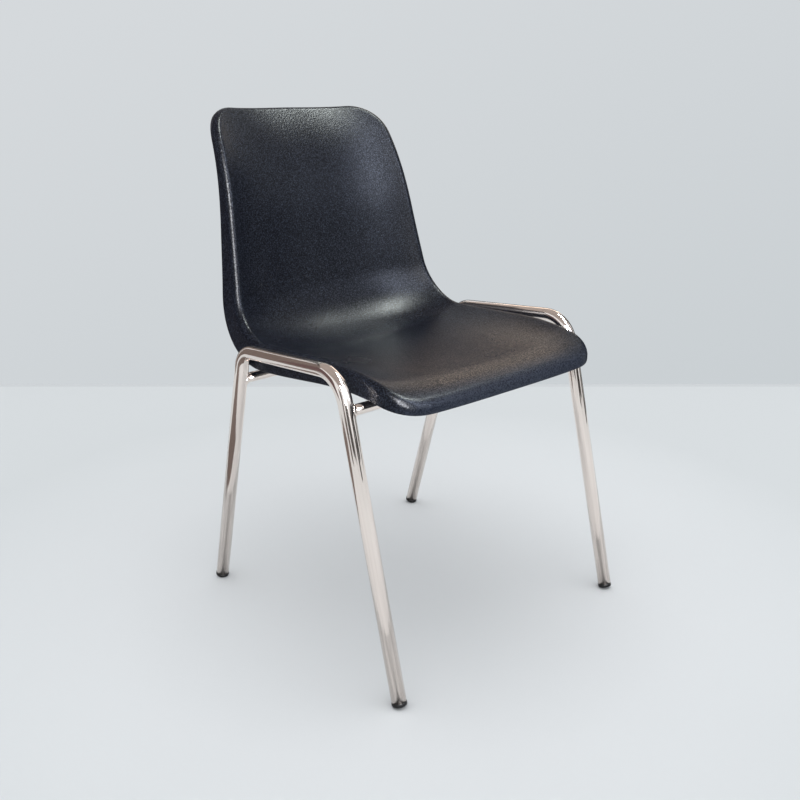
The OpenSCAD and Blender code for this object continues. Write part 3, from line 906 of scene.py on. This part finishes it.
studio = {
    # the floor is painted with a pool of light: paler near the chair's middle, darker further out
    "floorNear": (0.705, 0.737, 0.763),
    "floorFar": (0.625, 0.660, 0.682),
    "floorFade": (0.55, 1.0),  # distances from the chair's middle
    "floorPatchScale": 3,
    "floorSpread": 0.12,  # how much the patches shift that fade
    "floorRoughness": 0.9,
    "floorReflect": 0.05,
    "floorLine": (0.575, 0.605, 0.628),
    "floorEdge": 1.1314,  # how far behind the chair the floor ends in the photo's view
    "lineWidth": 0.026,
    "floorReach": 6,
    "wallTones": ((0.590, 0.628, 0.652), (0.665, 0.693, 0.716)),
    "wallLean": (-0.26, 0.24, 1),  # paler towards the top and towards one side
    "wallFade": (-0.42, 0.18),
    "fill": 0.88,
    "mirrorGain": 0.28,
}


def makeFloorTone(name, near, far):
    material, tree, shader = newMaterial(name)
    place = addNode(tree, "ShaderNodeTexCoord").outputs["Object"]
    reach = addNode(tree, "ShaderNodeVectorMath", operation="LENGTH", Vector=place).outputs["Value"]
    patches = addNoise(tree, place, studio["floorPatchScale"], 3, 0.5)
    # painted pool of light round the chair
    spread = addMath(tree, "MULTIPLY_ADD", patches, studio["floorSpread"], reach)
    feed(tree, shader["Base Color"], blendTones(tree, spread, studio["floorFade"], (near, far)))
    shader["Roughness"].default_value = studio["floorRoughness"]
    shader["Specular IOR Level"].default_value = studio["floorReflect"]
    below = addNode(tree, "ShaderNodeNewGeometry").outputs["Backfacing"]  # the floor shows from above only
    clear = addNode(tree, "ShaderNodeBsdfTransparent").outputs["BSDF"]
    showEither(tree, below, tree.nodes["Principled BSDF"].outputs["BSDF"], clear, "Material Output")
    return material


def addSheet(name, material, halfSize, place):
    # a flat sheet of the studio, which place moves from the origin
    bm = bmesh.new()
    bmesh.ops.create_grid(bm, x_segments=2, y_segments=2, size=1)
    bmesh.ops.scale(bm, verts=bm.verts, vec=(*halfSize, 1))
    bmesh.ops.transform(bm, verts=bm.verts, matrix=place)
    mesh = bpy.data.meshes.new(name)
    bm.to_mesh(mesh)
    bm.free()
    mesh.materials.append(material)
    sheet = addObject(name, mesh)
    return sheet


def makeFloor():
    # the pale floor, and the darker line along its far edge
    edge, line, reach = studio["floorEdge"], studio["lineWidth"], studio["floorReach"]
    pale = makeFloorTone("paleFloor", studio["floorNear"], studio["floorFar"])
    dark = makeFloorTone("floorLine", studio["floorLine"], studio["floorLine"])
    inView = Matrix.Rotation(radians(cameraView["yaw"]), 4, "Z")
    for name, material, middle, half in (("studioFloor", pale, edge - line - reach, reach),
                                         ("floorLine", dark, edge - line / 2, line / 2)):
        addSheet(name, material, (reach, half), inView @ Matrix.Translation((0, middle, 0)))


def makeWorld():
    world = bpy.data.worlds.new("paleStudio")
    world.use_nodes = True
    tree = world.node_tree
    place = addNode(tree, "ShaderNodeTexCoord").outputs["Generated"]
    lean = addNode(tree, "ShaderNodeVectorMath", operation="DOT_PRODUCT", Vector=place)
    lean.inputs[1].default_value = studio["wallLean"]
    fade = remap(tree, lean.outputs["Value"], studio["wallFade"])
    seen = tree.nodes["Background"]
    feed(tree, seen.inputs["Color"], blendTones(tree, fade, (0, 1), studio["wallTones"]))
    rays = addNode(tree, "ShaderNodeLightPath").outputs
    feed(tree, seen.inputs["Strength"], addMath(tree, "MULTIPLY_ADD", rays["Is Glossy Ray"], studio["mirrorGain"], 1))
    fill = addNode(tree, "ShaderNodeBackground", Color=(1, 1, 1, 1), Strength=studio["fill"])
    shown = addMath(tree, "MAXIMUM", rays["Is Camera Ray"], rays["Is Glossy Ray"])
    showEither(tree, shown, fill.outputs["Background"], seen.outputs["Background"], "World Output")
    bpy.context.scene.world = world


# the first lamp lights everything, and the others only put their gloss on it
lamps = {
    "ceilingSoftbox": {
        "place": (0.2, -0.1, 4.4), "turn": (0, 0, 0), "size": (6, 6),
        "power": 74, "tone": (1, 0.99, 0.98), "glossOnly": False},
    "ceilingStrip": {
        "place": (1.42, -0.60, 3.4), "turn": (0, 0, -20), "size": (0.50, 1.55),
        "power": 118, "tone": (0.93, 1, 0.96), "glossOnly": True},
    "frontGloss": {
        "place": (0.52, -1.53, 1.89), "aim": (0.05, 0.2, 0.72), "size": (0.36, 1.9),
        "power": 36, "tone": (0.74, 0.82, 1), "glossOnly": True},
    "edgeGloss": {
        "place": (-0.95, -1.60, 1.50), "aim": (-0.1, 0.18, 0.65), "size": (0.70, 1.5),
        "power": 170, "tone": (0.96, 0.97, 1), "glossOnly": True},
    "warmSideGloss": {
        "place": (1.50, 0.86, 1.14), "aim": (0, -0.2, 0.44), "size": (1.05, 0.84),
        "power": 3.8, "tone": (1, 0.74, 0.50), "glossOnly": True},
}


def makeLamps():
    for name, lamp in lamps.items():
        light = bpy.data.lights.new(name, "AREA")
        light.shape = "RECTANGLE"
        light.size, light.size_y = lamp["size"]
        light.energy = lamp["power"]
        light.color = lamp["tone"]
        holder = addObject(name, light)
        holder.location = lamp["place"]
        if "turn" in lamp:
            holder.rotation_euler = [radians(angle) for angle in lamp["turn"]]
        else:
            way = Vector(lamp["aim"]) - Vector(lamp["place"])
            holder.rotation_euler = way.to_track_quat("-Z", "Y").to_euler()
        holder.visible_camera = False
        holder.visible_diffuse = not lamp["glossOnly"]


# only mirrored rays see the cards, which break up what the chrome shows
standingCards = (  # azimuth and half width in degrees, distance, bottom, top, tone
    (-34, 9, 1.2, 0, 1.0, (0.020, 0.017, 0.016)),
    (-3, 15, 1.2, 0, 1.2, (0.028, 0.024, 0.022)),
    (28, 8, 1.7, 0, 1.2, (0.105, 0.118, 0.140)),
    (45, 9, 1.7, 0, 1.2, (0.115, 0.128, 0.150)),
    (62, 8, 1.7, 0, 1.25, (0.105, 0.115, 0.135)),
    (86, 14, 1.7, 0, 1.6, (0.19, 0.155, 0.135)),
    (100, 26, 1.7, 1.65, 1.95, (0.03, 0.025, 0.022)),
    (122, 16, 1.5, 0, 1.5, (0.17, 0.13, 0.115)),
    (156, 21, 1.05, 0.32, 0.9, (0.12, 0.065, 0.065)),
    (-160, 7, 1.2, 0, 0.9, (0.12, 0.10, 0.09)),
    (-130, 13, 1.4, 0.14, 0.62, (0.03, 0.026, 0.024)),
    (-73, 11, 1.3, 0.16, 0.62, (0.018, 0.016, 0.015)),
    (-92, 7, 1.4, 0, 0.6, (0.05, 0.043, 0.04)),
)
lyingCards = {
    "floorCard": {"place": (-0.79, 0.32, 0.002), "halfSize": (0.50, 0.26), "tone": (0.13, 0.10, 0.09)},
    "ceilingCard": {"place": (0, 0, 3.6), "halfSize": (3.7, 3.7), "tone": (0.46, 0.40, 0.37)},
}


def hangCard(name, tone, halfSize, place):
    material, _, shader = newMaterial(name)
    shader["Base Color"].default_value = (*tone, 1)
    shader["Roughness"].default_value = 1
    card = addSheet(name, material, halfSize, place)
    card.visible_camera = card.visible_diffuse = card.visible_shadow = False


def makeCards():
    upright = Matrix.Rotation(pi / 2, 4, "X")
    for number, (azimuth, half, distance, bottom, top, tone) in enumerate(standingCards):
        place = (Matrix.Rotation(radians(azimuth - 90), 4, "Z") @ upright
                 @ Matrix.Translation((0, (top + bottom) / 2, -distance)))
        hangCard("card" + str(number), tone, (distance * tan(radians(half)), (top - bottom) / 2), place)
    for name, card in lyingCards.items():
        hangCard(name, card["tone"], card["halfSize"], Matrix.Translation(card["place"]))


makeFloor()
makeWorld()
makeCards()
makeLamps()
bpy.context.scene.view_settings.view_transform = "Standard"
print("studio lit")
